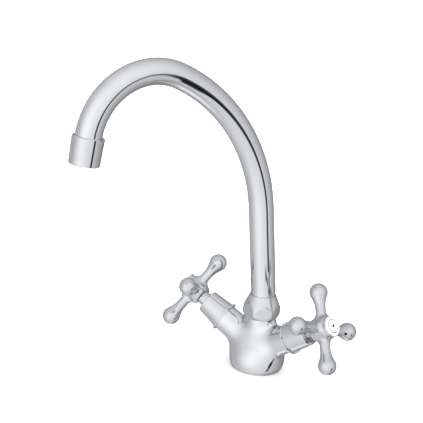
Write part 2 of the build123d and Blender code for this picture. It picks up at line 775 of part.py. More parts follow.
    with BuildPart() as handle_screw:
        with BuildSketch(section):
            with BuildLine():
                Polyline(
                    (0, screw_well_start - screw_length),
                    (screw_radius, screw_well_start - screw_length),
                    (screw_radius, screw_well_start),
                    (screw_head_radius, screw_well_start),
                    (screw_head_radius, screw_well_start + screw_head_thickness),
                    (0, screw_well_start + screw_head_thickness),
                    close=True,
                )
            make_face()
        revolve(axis=axis)
        with BuildSketch(plane.offset(screw_well_start + screw_head_thickness)):
            Rectangle(2 * screw_head_radius, screw_slot_width)
        extrude(amount=-screw_slot_depth, mode=Mode.SUBTRACT)
    handle_screw.part.label = f"{side}_handle_screw"
    export_step(handle_screw.part, f"parts/{side}_handle_screw.step")

    with BuildPart() as index_bezel:
        with BuildSketch(section):
            with BuildLine():
                Polyline(
                    (bezel_bore_radius, hub_front_distance - bezel_spigot_length),
                    (bezel_spigot_radius, hub_front_distance - bezel_spigot_length),
                    (bezel_spigot_radius, hub_front_distance),
                    (bezel_radius, hub_front_distance),
                    (bezel_radius, bezel_front - bezel_edge),
                    (bezel_radius - bezel_edge, bezel_front),
                    (button_radius + seat_clearance, bezel_front),
                    (button_radius + seat_clearance, button_start),
                    (bezel_bore_radius, button_start),
                    close=True,
                )
            make_face()
        revolve(axis=axis)
    index_bezel.part.label = f"{side}_index_bezel"
    export_step(index_bezel.part, f"parts/{side}_index_bezel.step")

    # The enamel button is a disc with a low crown.
    button_crown_radius = (button_radius**2 + button_crown**2) / (2 * button_crown)
    button_rim = button_start + button_thickness
    with BuildPart() as index_button:
        with BuildSketch(section):
            with BuildLine():
                button_edge = Polyline(
                    (0, button_start),
                    (button_radius, button_start),
                    (button_radius, button_rim),
                )
                crown_arc = RadiusArc(button_edge @ 1, (0, button_rim + button_crown), -button_crown_radius)
                Line(crown_arc @ 1, (0, button_start))
            make_face()
        revolve(axis=axis)
    index_button.part.label = f"{side}_index_button"
    export_step(index_button.part, f"parts/{side}_index_button.step")
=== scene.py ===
import bpy
import bmesh
import numpy as np
from math import cos, radians, sin, sqrt, tan
from mathutils import Matrix, Vector


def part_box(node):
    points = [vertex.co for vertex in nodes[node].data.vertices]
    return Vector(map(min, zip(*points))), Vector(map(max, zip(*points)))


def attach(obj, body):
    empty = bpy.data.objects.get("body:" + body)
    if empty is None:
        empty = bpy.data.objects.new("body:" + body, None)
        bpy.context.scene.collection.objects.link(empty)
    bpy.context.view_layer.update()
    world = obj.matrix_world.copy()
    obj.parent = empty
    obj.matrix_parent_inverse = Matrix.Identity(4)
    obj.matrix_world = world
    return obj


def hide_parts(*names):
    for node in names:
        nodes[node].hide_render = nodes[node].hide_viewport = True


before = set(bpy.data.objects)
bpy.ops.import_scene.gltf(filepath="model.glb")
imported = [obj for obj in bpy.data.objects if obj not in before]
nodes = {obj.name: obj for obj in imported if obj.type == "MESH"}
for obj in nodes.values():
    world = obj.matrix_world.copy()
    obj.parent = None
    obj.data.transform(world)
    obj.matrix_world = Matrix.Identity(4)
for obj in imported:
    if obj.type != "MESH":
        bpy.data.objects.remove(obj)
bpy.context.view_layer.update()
scene = bpy.context.scene

mm = 0.001
roundSides = 96  # edges in every turned ring


def linear(hexColour):  # an sRGB hex colour as Blender's linear numbers
    parts = [int(hexColour[i:i + 2], 16) / 255 for i in (1, 3, 5)]
    return tuple(p / 12.92 if p <= 0.04045 else ((p + 0.055) / 1.055) ** 2.4 for p in parts) + (1.0,)


# Among the inputs a socket, or a list of sockets, is linked, and anything else is set as a value
def addNode(tree, kind, settings=None, inputs=None):
    node = tree.nodes.new(kind)
    for name, value in (settings or {}).items():
        setattr(node, name, value)
    for name, value in (inputs or {}).items():
        sources = value if isinstance(value, list) else [value]
        if isinstance(sources[0], bpy.types.NodeSocket):
            for source in sources:
                tree.links.new(source, node.inputs[name])
        else:
            node.inputs[name].default_value = value
    return node


def newMaterial(name):
    material = bpy.data.materials.new(name)
    material.use_nodes = True
    material.node_tree.nodes.clear()
    return material, material.node_tree


def finishMaterial(tree, shader):
    addNode(tree, "ShaderNodeOutputMaterial", inputs={"Surface": shader.outputs[0]})


def meshPiece(name, bm):
    mesh = bpy.data.meshes.new(name)
    bm.to_mesh(mesh)
    bm.free()
    piece = bpy.data.objects.new(name, mesh)
    scene.collection.objects.link(piece)
    return piece


# Camera: a long lens a little above the tap, rolled as the photograph is

photo = {
    "azimuth": 32.87,
    "elevation": 16.10,
    "roll": 4.81,
    "distance": 1076.62,  # mm
    "right": -52.02,
    "up": 141.8,
    "focal": 1228.38,  # px
    "side": 423,
    "sensor": 36.0,  # mm
    "farthest": 60,  # m
}


def direction(azimuth, elevation):  # azimuth is counted from the camera's own, to its right
    turn = radians(photo["azimuth"] + azimuth)
    rise = radians(elevation)
    return Vector((sin(turn) * cos(rise), -cos(turn) * cos(rise), sin(rise)))


toCamera = direction(0, photo["elevation"])
level = Vector((cos(radians(photo["azimuth"])), sin(radians(photo["azimuth"])), 0))
upright = toCamera.cross(level)
roll = radians(photo["roll"])
cameraRight = level * cos(roll) + upright * sin(roll)
cameraUp = upright * cos(roll) - level * sin(roll)
cameraPlace = (level * photo["right"] + Vector((0, 0, photo["up"])) + toCamera * photo["distance"]) * mm

cameraData = bpy.data.cameras.new("camera")
cameraData.sensor_width = photo["sensor"]
cameraData.lens = photo["focal"] * photo["sensor"] / photo["side"]
cameraData.clip_end = photo["farthest"]
camera = bpy.data.objects.new("camera", cameraData)
turnMatrix = Matrix((cameraRight, cameraUp, toCamera)).transposed().to_4x4()
camera.matrix_world = Matrix.Translation(cameraPlace) @ turnMatrix
scene.collection.objects.link(camera)
scene.camera = camera
print("camera placed")

# Studio: a soft room, bright round the camera and dimmer behind the tap, with one long black flag in it

scene.view_settings.view_transform = "Standard"

room = {
    "fill": 0.37,
    "softBoxes": (  # azimuth, elevation and reach in degrees, brightness at the middle
        (22, 27, 138, 0.97),
        (-38, -2, 66, 0.46),
        (-45, -69, 86, 0.49),
        (-122, 26, 123, 0.33),
        (120, -74, 40, -0.36),
        (180, -12, 60, -0.22),
        (166, -80, 24, 0.90),
    ),
    "flag": (  # two lengths: half the width in degrees, then the azimuth and elevation of both ends
        (7.5, (56, -14), (55, -28)),
        (4.0, (55, -28), (54, -46)),
    ),
    "flagEdge": (0.6, 1.3),  # where it starts and ends to fade, in half widths
    "flagShade": 0.06,
    "tint": "#FDFDFF",
}
world = bpy.data.worlds.new("softRoom")
world.use_nodes = True
scene.world = world
tree = world.node_tree
tree.nodes.clear()
gaze = addNode(tree, "ShaderNodeTexCoord").outputs["Generated"]
total = room["fill"]
for azimuth, elevation, reach, brightness in room["softBoxes"]:
    facing = addNode(tree, "ShaderNodeVectorMath", {"operation": "DOT_PRODUCT"},
                     {0: gaze, 1: direction(azimuth, elevation)}).outputs["Value"]
    away = addNode(tree, "ShaderNodeMath", {"operation": "ARCCOSINE"}, {0: facing}).outputs[0]
    fade = addNode(tree, "ShaderNodeMapRange", {"interpolation_type": "SMOOTHSTEP"}, {
        "Value": away, "From Min": 0.0, "From Max": radians(reach),
        "To Min": brightness, "To Max": 0.0}).outputs["Result"]
    total = addNode(tree, "ShaderNodeMath", {"operation": "ADD"}, {0: total, 1: fade}).outputs[0]
for halfWidth, first, second in room["flag"]:  # darkened by how near the look passes to this length
    start = direction(*first)
    run = direction(*second) - start
    along = addNode(tree, "ShaderNodeVectorMath", {"operation": "DOT_PRODUCT"},
                    {0: gaze, 1: run / run.length_squared}).outputs["Value"]
    along = addNode(tree, "ShaderNodeMath", {"operation": "SUBTRACT", "use_clamp": True},
                    {0: along, 1: start.dot(run) / run.length_squared}).outputs[0]
    spot = addNode(tree, "ShaderNodeVectorMath", {"operation": "MULTIPLY_ADD"},
                   {0: run, 1: along, 2: start}).outputs[0]
    off = addNode(tree, "ShaderNodeVectorMath", {"operation": "DISTANCE"},
                  {0: gaze, 1: spot}).outputs["Value"]
    solid, clear = (radians(halfWidth) * share for share in room["flagEdge"])
    lit = addNode(tree, "ShaderNodeMapRange", {"interpolation_type": "SMOOTHSTEP"}, {
        "Value": off, "From Min": solid, "From Max": clear,
        "To Min": room["flagShade"], "To Max": 1.0}).outputs["Result"]
    total = addNode(tree, "ShaderNodeMath", {"operation": "MULTIPLY"}, {0: total, 1: lit}).outputs[0]
shine = addNode(tree, "ShaderNodeBackground", inputs={"Color": linear(room["tint"]), "Strength": total})
addNode(tree, "ShaderNodeOutputWorld", inputs={"Surface": shine.outputs[0]})

floorLook = {
    "radius": 14.0,  # m
    "wallHeight": 9.0,
    "drop": 0.05,  # mm under the foot
    "colour": "#F4F4F3",
    "grain": 0.9,  # mm
    "grainDepth": 0.02,
    "rough": 0.9,
    "gloss": 0.1,
}
# A roll of photographer's paper: it takes a soft shadow and, with almost no gloss, shows nothing else
floorMaterial, tree = newMaterial("matt white paper sweep")
place = addNode(tree, "ShaderNodeTexCoord").outputs["Object"]
grain = addNode(tree, "ShaderNodeTexNoise", inputs={
    "Vector": place, "Scale": 1 / (floorLook["grain"] * mm)})
press = addNode(tree, "ShaderNodeBump", inputs={
    "Height": grain.outputs["Fac"], "Distance": floorLook["grainDepth"] * mm})
shader = addNode(tree, "ShaderNodeBsdfPrincipled", inputs={
    "Base Color": linear(floorLook["colour"]), "Roughness": floorLook["rough"],
    "Specular IOR Level": floorLook["gloss"], "Normal": press.outputs["Normal"]})
finishMaterial(tree, shader)
bm = bmesh.new()
bmesh.ops.create_circle(bm, cap_ends=True, segments=roundSides, radius=floorLook["radius"])
floor = meshPiece("floor", bm)
floor.location.z = -floorLook["drop"] * mm
floor.data.materials.append(floorMaterial)
floor.visible_glossy = False
bm = bmesh.new()
bmesh.ops.create_cone(bm, cap_ends=False, segments=roundSides, radius1=floorLook["radius"],
                      radius2=floorLook["radius"], depth=floorLook["wallHeight"],
                      matrix=Matrix.Translation((0, 0, floorLook["wallHeight"] / 2)))
backdrop = meshPiece("backdrop", bm)
backdrop.data.materials.append(floorMaterial)
backdrop.visible_glossy = False
backdrop.visible_diffuse = False
backdrop.visible_shadow = False

# A wide bank of light straight above, which makes the soft shadow round the foot
overhead = {"spread": 120, "strength": 3.0}  # degrees and W/m2
bank = bpy.data.lights.new("overheadBank", "SUN")
bank.angle = radians(overhead["spread"])
bank.energy = overhead["strength"]
lamp = bpy.data.objects.new("overheadBank", bank)
lamp.visible_glossy = False
scene.collection.objects.link(lamp)
print("studio built")


# Plated parts: bright chrome over nickel. The haze dims its mirror unevenly, as wiping and polishing do,
# and the ripple bends the reflections a little, as on metal that was ground by hand

def platedChrome(name, finish):
    material, tree = newMaterial(name)
    place = addNode(tree, "ShaderNodeTexCoord").outputs["Object"]
    haze = addNode(tree, "ShaderNodeTexNoise",
                   inputs={"Vector": place, "Scale": 1 / (finish["hazeSize"] * mm), "Detail": 3.0})
    rough = addNode(tree, "ShaderNodeMapRange", inputs={  # the noise seldom leaves 0.3 to 0.7
        "Value": haze.outputs["Fac"], "From Min": 0.3, "From Max": 0.7,
        "To Min": finish["rough"][0], "To Max": finish["rough"][1]})
    ripple = addNode(tree, "ShaderNodeTexNoise",
                     inputs={"Vector": place, "Scale": 1 / (finish["rippleSize"] * mm), "Detail": 1.0})
    wave = addNode(tree, "ShaderNodeBump",
                   inputs={"Height": ripple.outputs["Fac"], "Distance": finish["rippleDepth"] * mm})
    shader = addNode(tree, "ShaderNodeBsdfPrincipled", inputs={
        "Base Color": linear(finish["colour"]), "Metallic": 1.0, "Roughness": rough.outputs["Result"],
        "Normal": wave.outputs["Normal"]})
    finishMaterial(tree, shader)
    return material


platedFinishes = {  # sizes in mm
    # ground and polished casting: a bright mirror whose reflections drift in wide soft swells
    "castBody": {"colour": "#CDCFD1", "rough": (0.035, 0.06), "hazeSize": 9, "rippleSize": 11,
                 "rippleDepth": 0.004},
    # nut brushed before plating: a satin grey sheen on each flat, where the rest is a mirror
    "turnedNut": {"colour": "#C7C8CA", "rough": (0.20, 0.27), "hazeSize": 5, "rippleSize": 8,
                  "rippleDepth": 0.003},
    # drawn tube: the cleanest mirror of all, with long unbroken lines along the arch
    "drawnTube": {"colour": "#CDCFD1", "rough": (0.03, 0.05), "hazeSize": 14, "rippleSize": 16,
                  "rippleDepth": 0.002},
    # turned and buffed: crisp dark and light bands that run straight along the sleeve
    "turnedSleeve": {"colour": "#C7C9CB", "rough": (0.03, 0.05), "hazeSize": 8, "rippleSize": 10,
                     "rippleDepth": 0.003},
    # tumbled casting: a shade greyer and hazier, so that the balls read as round and soft
    "castCross": {"colour": "#C1C3C6", "rough": (0.04, 0.08), "hazeSize": 6, "rippleSize": 7,
                  "rippleDepth": 0.004},
    # rings and bezels: thin bright rims that catch the light between the larger pieces
    "beadTrim": {"colour": "#CDCFD1", "rough": (0.03, 0.05), "hazeSize": 6, "rippleSize": 8,
                 "rippleDepth": 0.002},
}
plated = {}
for name, finish in platedFinishes.items():
    plated[name] = platedChrome("polished chrome plate on " + name, finish)


# Cast and turned forms: a rough solid is given an even mesh, which is then laid on the exact surface

def softUnion(a, b, width):
    overlap = np.clip(width - np.abs(a - b), 0, None) / width
    return np.minimum(a, b) - overlap * overlap * width / 4


def slope(points, distance, step=0.01):
    parts = []
    for axis in np.eye(3) * step:
        parts.append((distance(points + axis) - distance(points - axis)) / (2 * step))
    return np.stack(parts, 1)


# Relaxes the mesh and lays its points back on the surface, in mm
def settle(mesh, distance, rounds, share=0.5, pulls=3):
    points = np.empty(len(mesh.vertices) * 3)
    mesh.vertices.foreach_get("co", points)
    points = points.reshape(-1, 3)
    edges = np.empty(len(mesh.edges) * 2, int)
    mesh.edges.foreach_get("vertices", edges)
    first, second = edges.reshape(-1, 2).T
    count = np.bincount(np.concatenate((first, second)), minlength=len(points))[:, None]
    for index in range(rounds):
        around = np.zeros_like(points)
        np.add.at(around, first, points[second])
        np.add.at(around, second, points[first])
        points = points * (1 - share) + around / count * share
        for again in range(pulls):
            pull = slope(points, distance)
            points = points - distance(points)[:, None] * pull / (pull * pull).sum(1)[:, None]
    mesh.vertices.foreach_set("co", points.ravel())
    mesh.update()


def voxelSkin(name, bm, step):
    rough = meshPiece(name, bm)
    remesh = rough.modifiers.new("remesh", "REMESH")
    remesh.mode = "VOXEL"
    remesh.voxel_size = step
    remesh.adaptivity = 0
    mesh = bpy.data.meshes.new_from_object(rough.evaluated_get(bpy.context.evaluated_depsgraph_get()))
    bpy.data.objects.remove(rough)
    return mesh


def aimed(place, axis, up=(0, 0, 1)):  # local Z runs along the axis
    z = Vector(axis).normalized()
    x = (Vector(up) - z * z.dot(Vector(up))).normalized()
    return Matrix.Translation(Vector(place)) @ Matrix((x, z.cross(x), z)).transposed().to_4x4()


# A ring of edges square to the seat's Z
def circleLoop(bm, seat, radius, height, segments, middle=(0, 0)):
    points = []
    for index in range(segments):
        turn = radians(360 * index / segments)
        across = Vector((middle[0] + radius * cos(turn), middle[1] + radius * sin(turn), height))
        points.append(seat @ across)
    verts = [bm.verts.new(point) for point in points]
    return verts, [bm.edges.new((verts[i - 1], verts[i])) for i in range(segments)]


def wall(bm, first, second):
    for i in range(len(first)):
        bm.faces.new((first[i - 1], first[i], second[i], second[i - 1]))


# Cuts the skin square to the seat's Z, then turns the end: rings are radius and height from the cut
def turnEnd(bm, seat, rings, holes=(), segments=roundSides):
    outward = seat.to_3x3().col[2]
    everything = bm.verts[:] + bm.edges[:] + bm.faces[:]
    cut = bmesh.ops.bisect_plane(bm, geom=everything, plane_co=seat.translation, plane_no=outward,
                                 clear_outer=True, dist=1e-6)
    rim = [e for e in cut["geom_cut"] if isinstance(e, bmesh.types.BMEdge)]
    loops = [circleLoop(bm, seat, radius, height, segments) for radius, height in rings]
    bmesh.ops.triangle_fill(bm, use_beauty=True, edges=rim + loops[0][1], normal=outward)
    for before, after in zip(loops, loops[1:]):
        wall(bm, before[0], after[0])
    if not holes:
        bm.faces.new(loops[-1][0])
        return
    inner = []
    for x, y, radius, depth in holes:  # blind holes, round and flat at the bottom
        mouth = circleLoop(bm, seat, radius, rings[-1][1], segments // 2, (x, y))
        end = circleLoop(bm, seat, radius, rings[-1][1] - depth, segments // 2, (x, y))
        wall(bm, mouth[0], end[0])
        bm.faces.new(end[0])
        inner += mouth[1]
    bmesh.ops.triangle_fill(bm, use_beauty=True, edges=loops[-1][1] + inner, normal=outward)


def polish(bm, edgeAngle=35):  # faces point outwards, smooth but for the turned edges
    bmesh.ops.recalc_face_normals(bm, faces=bm.faces)
    for face in bm.faces:
        face.smooth = True
    for edge in bm.edges:
        edge.smooth = edge.calc_face_angle(0) < radians(edgeAngle)


# Mixer body: one casting, whose arms run into the bulge and the neck in wide soft blends

body = {
    "baseRadius": 22.3,  # mm
    "bulgeRadius": 25.0,
    "bulgeHeight": 10.0,
    "neckRadius": 13.6,
    "sweepRadius": 22.0,
    "neckTop": 49.2,  # inside the nut
    "armFoot": 18.3,
    "armRise": 30.3,
    "armSplay": 7.3,
    "armRadius": 12.7,
    "armEnd": 41.3,  # inside the flange ring
    "blend": 11.0,
    "meshStep": 0.7,
    "rounds": 8,
    "roughFoot": (30, 11),  # length and middle of the rough solids
    "roughNeck": (40, 33),
    "roughArm": (46, 23),
    "collar": ((12.8, 0.0), (12.8, 7.8), (9.6, 7.8), (9.6, -9.2)),  # radius and height from each cut
    "valveSeat": ((10.0, 0.0), (10.0, -24.3)),
    "sealGroove": ((20.6, 0.0), (20.6, -2.2), (17.6, -2.2), (17.6, 0.0)),
    "inlet": {"offset": 8.6, "radius": 4.5, "depth": 12.0},
    "stud": {"offset": 12.5, "radius": 3.4, "depth": 15.0},
}


def armAxis(side):
    rise, splay = radians(body["armRise"]), radians(body["armSplay"])
    return np.array((side * cos(rise) * cos(splay), -cos(rise) * sin(splay), sin(rise)))


def armPlace(side, along):
    return Vector(armAxis(side)) * along + Vector((0, 0, body["armFoot"]))


def bodyDistance(points):  # below nought inside the casting
    radius = np.hypot(points[:, 0], points[:, 1])
    height = points[:, 2]
    swell = body["bulgeRadius"] - body["baseRadius"]
    bulgeArc = (swell ** 2 + body["bulgeHeight"] ** 2) / (2 * swell)
    bulgeCentre = np.array((body["bulgeRadius"] - bulgeArc, body["bulgeHeight"]))
    across = body["neckRadius"] + body["sweepRadius"] - bulgeCentre[0]
    sweepTop = body["bulgeHeight"] + sqrt((body["sweepRadius"] + bulgeArc) ** 2 - across ** 2)
    sweepCentre = np.array((body["neckRadius"] + body["sweepRadius"], sweepTop))
    bulge = np.hypot(radius - bulgeCentre[0], height - bulgeCentre[1]) - bulgeArc
    sweep = body["sweepRadius"] - np.hypot(radius - sweepCentre[0], height - sweepCentre[1])
    line = sweepCentre - bulgeCentre
    above = (height - bulgeCentre[1]) * line[0] > (radius - bulgeCentre[0]) * line[1]
    turned = np.where(above, sweep, bulge)
    turned = np.where(height > sweepTop, radius - body["neckRadius"], turned)
    for side in (-1, 1):
        fromFoot = points - np.array((0, 0, body["armFoot"]))
        along = fromFoot @ armAxis(side)
        arm = np.linalg.norm(fromFoot - along[:, None] * armAxis(side), axis=1) - body["armRadius"]
        arm = np.where(along > 0, arm, np.linalg.norm(fromFoot, axis=1) - body["armRadius"])
        turned = softUnion(turned, arm, body["blend"])
    return turned


bm = bmesh.new()
solids = [(body["baseRadius"], *body["roughFoot"], 0), (body["neckRadius"], *body["roughNeck"], 0)]
solids += [(body["armRadius"], *body["roughArm"], side) for side in (-1, 1)]
for radius, length, middle, side in solids:
    seat = aimed(armPlace(side, middle), armAxis(side)) if side else Matrix.Translation((0, 0, middle))
    bmesh.ops.create_cone(bm, cap_ends=True, segments=roundSides, radius1=radius, radius2=radius,
                          depth=length, matrix=seat)
skin = voxelSkin("bodyRough", bm, body["meshStep"])
settle(skin, bodyDistance, body["rounds"])
bm = bmesh.new()
bm.from_mesh(skin)
inletX = body["inlet"]["offset"]
inletY = inletX * tan(radians(body["armSplay"]))
mouths = [(x, inletY, body["inlet"]["radius"], body["inlet"]["depth"]) for x in (-inletX, inletX)]
mouths.append((0, -body["stud"]["offset"], body["stud"]["radius"], body["stud"]["depth"]))
underside = Matrix.Rotation(radians(180), 4, "X")
turnEnd(bm, underside, body["sealGroove"], mouths)
turnEnd(bm, Matrix.Translation((0, 0, body["neckTop"])), body["collar"])
for side in (-1, 1):
    turnEnd(bm, aimed(armPlace(side, body["armEnd"]), armAxis(side)), body["valveSeat"])
polish(bm)
bm.transform(Matrix.Scale(mm, 4))
casting = meshPiece("mixerCasting", bm)
casting.data.materials.append(plated["castBody"])
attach(casting, "mixer")
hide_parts("mixer_body")
print("mixer casting:", len(casting.data.polygons), "faces")

# Spout nut: a hexagon coned above and below its corners, its edges rounded over by the polishing wheel

nut = {
    "acrossFlats": 30.4,  # mm
    "flatAngles": (9, 69, 129),
    "turnedRadius": 17.2,
    "seat": (14.6, 48.8),  # radius and height
    "lowCorner": (17.2, 52.5),
    "highCorner": (17.2, 57.2),
    "lip": (11.7, 69.6),
    "rounding": 0.9,
    "meshStep": 0.6,
    "rounds": 10,
    "roughExtra": 8,
    "bore": ((12.9, 0.0), (12.9, -13.5)),
    "lipBore": ((11.2, 0.0), (11.2, -7.2)),
}


def coneDistance(radius, height, low, high):
    run = np.array(high) - np.array(low)
    out = np.array((run[1], -run[0])) / np.hypot(*run)
    return (radius - low[0]) * out[0] + (height - low[1]) * out[1]


def nutDistance(points):
    radius = np.hypot(points[:, 0], points[:, 1])
    distance = radius - nut["turnedRadius"]
    for angle in nut["flatAngles"]:
        flat = np.abs(points[:, 0] * cos(radians(angle)) + points[:, 1] * sin(radians(angle)))
        distance = -softUnion(-distance, nut["acrossFlats"] / 2 - flat, nut["rounding"])
    for low, high in ((nut["seat"], nut["lowCorner"]), (nut["highCorner"], nut["lip"])):
        distance = -softUnion(-distance, -coneDistance(radius, points[:, 2], low, high), nut["rounding"])
    return distance


bm = bmesh.new()
bmesh.ops.create_cone(bm, cap_ends=True, segments=roundSides, radius1=nut["seat"][0], radius2=nut["lip"][0],
                      depth=nut["lip"][1] - nut["seat"][1] + nut["roughExtra"],
                      matrix=Matrix.Translation((0, 0, (nut["lip"][1] + nut["seat"][1]) / 2)))
skin = voxelSkin("nutRough", bm, nut["meshStep"])
settle(skin, nutDistance, nut["rounds"])
bm = bmesh.new()
bm.from_mesh(skin)
turnEnd(bm, underside @ Matrix.Translation((0, 0, -nut["seat"][1])), nut["bore"])
turnEnd(bm, Matrix.Translation((0, 0, nut["lip"][1])), nut["lipBore"])
polish(bm)
bm.transform(Matrix.Scale(mm, 4))
spoutNut = meshPiece("spoutNut", bm)
spoutNut.data.materials.append(plated["turnedNut"])
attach(spoutNut, "mixer")
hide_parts("spout_nut")
print("spout nut:", len(spoutNut.data.polygons), "faces")


# Spout: Geometry Nodes walk along the bends in short steps and sweep the drawn tube's two walls along them

# Sizes are the tree's named inputs. Gives back the tree and their sockets
def newGroup(name, sizes):
    tree = bpy.data.node_groups.new(name, "GeometryNodeTree")
    tree.interface.new_socket("Geometry", in_out="INPUT", socket_type="NodeSocketGeometry")
    tree.interface.new_socket("Geometry", in_out="OUTPUT", socket_type="NodeSocketGeometry")
    for label, value in sizes.items():
        kind = "NodeSocketInt" if isinstance(value, int) else "NodeSocketFloat"
        tree.interface.new_socket(label, in_out="INPUT", socket_type=kind)
    return tree, addNode(tree, "NodeGroupInput").outputs


def closeGroup(tree, geometry, material):
    real = addNode(tree, "GeometryNodeRealizeInstances", inputs={"Geometry": geometry})
    dressed = addNode(tree, "GeometryNodeSetMaterial", inputs={
        "Geometry": real.outputs["Geometry"], "Material": material})
    addNode(tree, "NodeGroupOutput", inputs={"Geometry": dressed.outputs["Geometry"]})


def grow(name, tree, sizes):  # runs the tree and gives back its plain mesh
    seed = bpy.data.objects.new(name, bpy.data.meshes.new(name))
    scene.collection.objects.link(seed)
    modifier = seed.modifiers.new(name, "NODES")
    modifier.node_group = tree
    for item in tree.interface.items_tree:
        if item.in_out == "INPUT" and item.name in sizes:
            modifier[item.identifier] = sizes[item.name]
    mesh = bpy.data.meshes.new_from_object(seed.evaluated_get(bpy.context.evaluated_depsgraph_get()))
    bpy.data.objects.remove(seed)
    return mesh


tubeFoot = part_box("spout_tube")[0][2] / mm
spout = {
    "swing": -25.0,  # degrees from straight ahead, towards the hot side
    "radius": 11.0,  # mm
    "wall": 1.2,
    "bends": (  # bend radius and angle, or a straight length and no angle
        (69.6 - tubeFoot, 0.0),
        (44.0, 7.9),
        (75.0, 0.0),
        (151.0, 59.0),
        (57.4, 106.2),
        (8.0, 0.0),
    ),
    "step": 1.5,
    "sides": 96,
    "endReach": 0.1,  # the lower rims lie this near the foot
}
runs = [(size * radians(angle) if angle else size, angle) for size, angle in spout["bends"]]
spoutLength = sum(length for length, angle in runs)
stepCount = round(spoutLength / spout["step"])
tubeSizes = {
    "Tube radius": spout["radius"] * mm, "Bore radius": (spout["radius"] - spout["wall"]) * mm,
    "Foot height": tubeFoot * mm, "Step": spoutLength / stepCount * mm, "Steps": stepCount,
    "Sides": spout["sides"]}
for index, (length, angle) in enumerate(runs):
    tubeSizes["Run %d length" % index] = length * mm
    tubeSizes["Run %d turn" % index] = radians(angle)

tree, size = newGroup("bentSpoutTube", tubeSizes)
pointIndex = addNode(tree, "GeometryNodeInputIndex").outputs[0]
middle = addNode(tree, "ShaderNodeMath", {"operation": "ADD"}, {0: pointIndex, 1: 0.5}).outputs[0]
travel = addNode(tree, "ShaderNodeMath", {"operation": "MULTIPLY"}, {0: middle, 1: size["Step"]}).outputs[0]
lean = 0.0
begun = 0.0
for index in range(len(runs)):
    ended = addNode(tree, "ShaderNodeMath", {"operation": "ADD"},
                    {0: begun, 1: size["Run %d length" % index]}).outputs[0]
    turned = addNode(tree, "ShaderNodeMapRange", inputs={
        "Value": travel, "From Min": begun, "From Max": ended, "To Max": size["Run %d turn" % index]})
    lean = addNode(tree, "ShaderNodeMath", {"operation": "ADD"},
                   {0: lean, 1: turned.outputs["Result"]}).outputs[0]
    begun = ended
forward = addNode(tree, "ShaderNodeMath", {"operation": "SINE"}, {0: lean}).outputs[0]
rise = addNode(tree, "ShaderNodeMath", {"operation": "COSINE"}, {0: lean}).outputs[0]
heading = addNode(tree, "ShaderNodeCombineXYZ", inputs={"X": forward, "Z": rise}).outputs[0]
stride = addNode(tree, "ShaderNodeVectorMath", {"operation": "SCALE"},
                 {0: heading, "Scale": size["Step"]}).outputs[0]
walked = addNode(tree, "GeometryNodeAccumulateField", {"data_type": "FLOAT_VECTOR"}, {0: stride}).outputs[1]
foot = addNode(tree, "ShaderNodeCombineXYZ", inputs={"Z": size["Foot height"]}).outputs[0]
along = addNode(tree, "ShaderNodeVectorMath", {"operation": "ADD"}, {0: foot, 1: walked}).outputs[0]
points = addNode(tree, "ShaderNodeMath", {"operation": "ADD"}, {0: size["Steps"], 1: 1.0}).outputs[0]
straight = addNode(tree, "GeometryNodeCurvePrimitiveLine").outputs[0]
divided = addNode(tree, "GeometryNodeResampleCurve", inputs={"Curve": straight, "Count": points}).outputs[0]
bent = addNode(tree, "GeometryNodeSetPosition", inputs={"Geometry": divided, "Position": along}).outputs[0]
walls = []
for label in ("Tube radius", "Bore radius"):
    ring = addNode(tree, "GeometryNodeCurvePrimitiveCircle",
                   inputs={"Resolution": size["Sides"], "Radius": size[label]}).outputs[0]
    swept = addNode(tree, "GeometryNodeCurveToMesh", inputs={"Curve": bent, "Profile Curve": ring})
    walls.append(swept.outputs[0])
both = addNode(tree, "GeometryNodeJoinGeometry", inputs={"Geometry": walls}).outputs[0]
swung = addNode(tree, "GeometryNodeTransform", inputs={
    "Geometry": both, "Rotation": (0, 0, radians(spout["swing"] - 90))}).outputs[0]
closeGroup(tree, swung, plated["drawnTube"])
bm = bmesh.new()
bm.from_mesh(grow("spoutWalls", tree, tubeSizes))
ends = [e for e in bm.edges if e.is_boundary]
footTop = (tubeFoot + spout["endReach"]) * mm
bmesh.ops.bridge_loops(bm, edges=[e for e in ends if e.verts[0].co.z < footTop])
bmesh.ops.bridge_loops(bm, edges=[e for e in ends if e.is_boundary])
polish(bm)
spoutTube = meshPiece("spoutTube", bm)
spoutTube.data.materials.append(plated["drawnTube"])
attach(spoutTube, "spout")
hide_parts("spout_tube")
print("spout tube:", len(spoutTube.data.polygons), "faces in", stepCount, "steps")


# Finishes of the other pieces, seen at the aerator's mouth, under the foot, or with the tap apart

def plainMaterial(name, look):  # one grain drives the tone, the gloss and the relief
    material, tree = newMaterial(name)
    place = addNode(tree, "ShaderNodeTexCoord").outputs["Object"]
    grain = addNode(tree, "ShaderNodeTexNoise",
                    inputs={"Vector": place, "Scale": 1 / (look["grain"] * mm), "Detail": 3.0})
    tone = addNode(tree, "ShaderNodeMix", {"data_type": "RGBA"}, {  # 6 and 7 are its colours A and B
        0: grain.outputs["Fac"], 6: linear(look["colour"]), 7: linear(look["second"])})
    rough = addNode(tree, "ShaderNodeMapRange", inputs={
        "Value": grain.outputs["Fac"], "To Min": look["rough"][0], "To Max": look["rough"][1]})
    press = addNode(tree, "ShaderNodeBump", inputs={
        "Height": grain.outputs["Fac"], "Distance": look["depth"] * mm})
    inputs = {"Base Color": tone.outputs[2], "Roughness": rough.outputs["Result"],
              "Normal": press.outputs["Normal"]}
    if "ior" in look:
        inputs["IOR"] = look["ior"]
    else:
        inputs["Metallic"] = 1.0
    shader = addNode(tree, "ShaderNodeBsdfPrincipled", inputs=inputs)
    finishMaterial(tree, shader)
    return material


